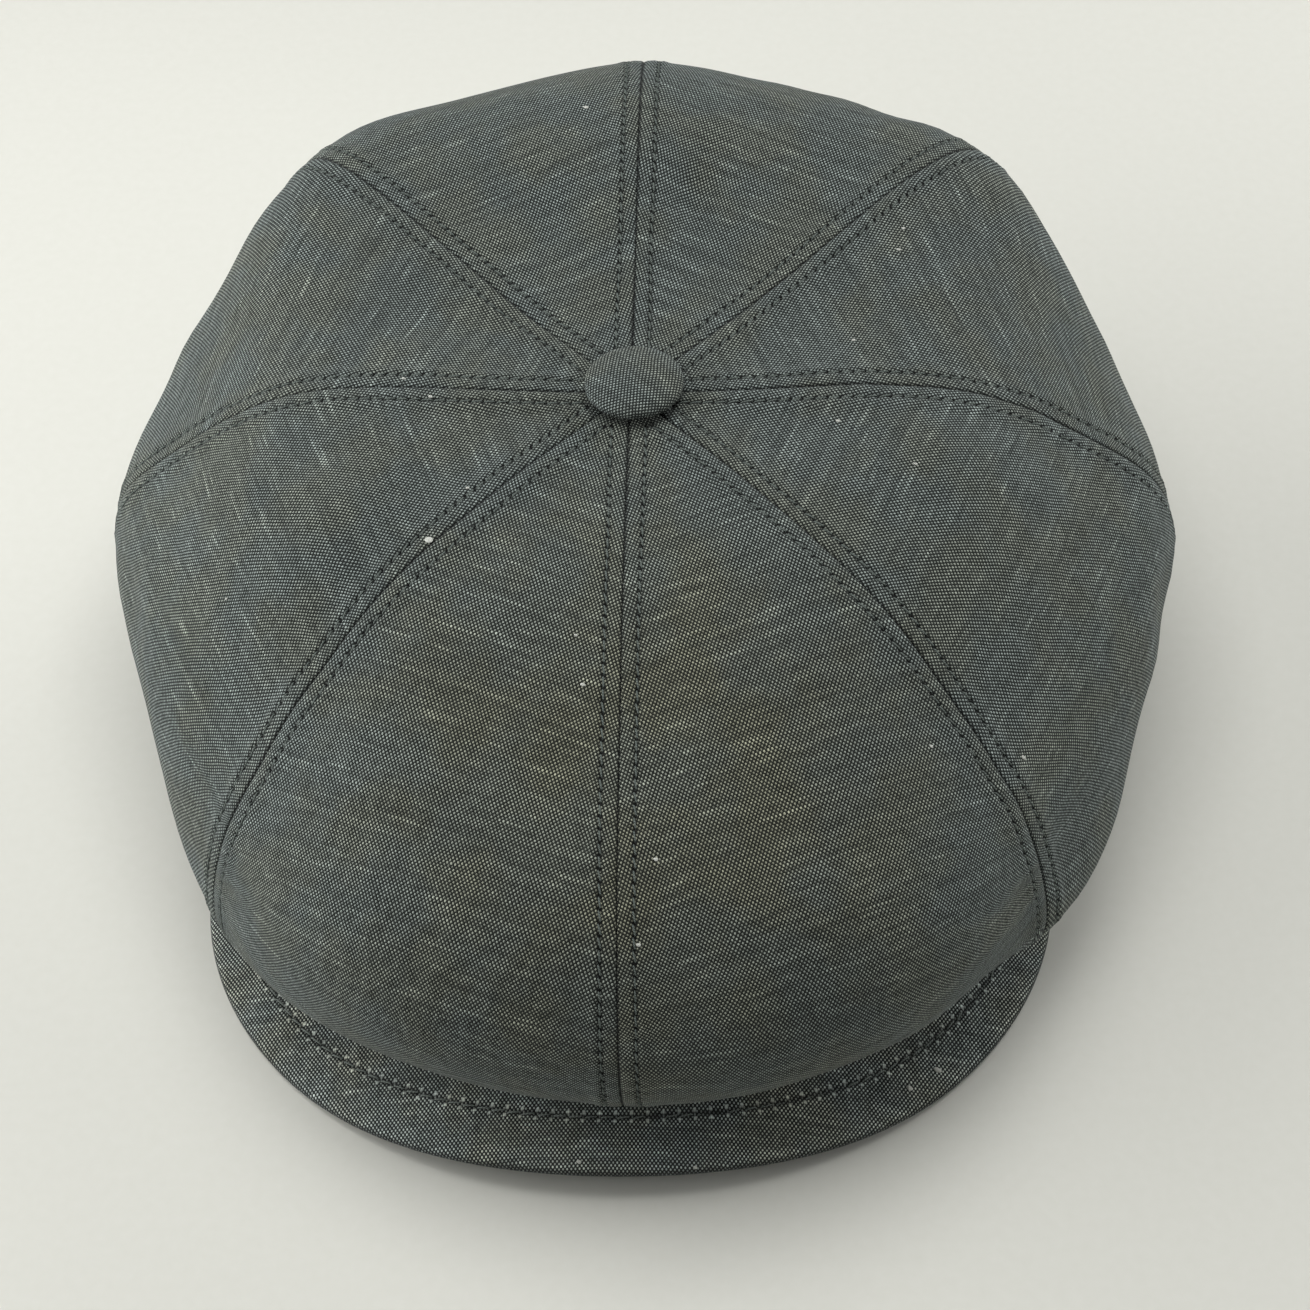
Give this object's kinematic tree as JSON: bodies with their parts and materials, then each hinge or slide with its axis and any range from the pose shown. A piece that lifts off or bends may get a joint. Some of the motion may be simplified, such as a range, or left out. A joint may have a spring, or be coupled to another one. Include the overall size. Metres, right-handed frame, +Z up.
{
  "type": "eight-panel newsboy flat cap",
  "caption": "Full round cap of tapering linen panels with a covered button on top and a short curved peak.",
  "frame": {"origin": "middle of the base of the cap's box, on the surface it lies on", "axes": "+Z up, the peak points to -Y, and +X is the right side as seen from the front"},
  "size_m": [0.2686, 0.294, 0.123],
  "materials": {
    "panel_linen": "plain weave linen, dark warp and light grey weft, matt",
    "button_linen": "the same linen drawn over a button, matt",
    "peak_top_linen": "the same linen over a stiff peak, matt",
    "peak_under_linen": "plain linen, matt"
  },
  "bodies": {
    "root": {"panel_front_left": "panel_linen", "panel_front_right": "panel_linen", "panel_side_front_left": "panel_linen", "panel_side_front_right": "panel_linen", "panel_side_back_left": "panel_linen", "panel_side_back_right": "panel_linen", "panel_back_left": "panel_linen", "panel_back_right": "panel_linen", "button": "button_linen", "peak_top": "peak_top_linen", "peak_under": "peak_under_linen"}
  },
  "joints": []
}
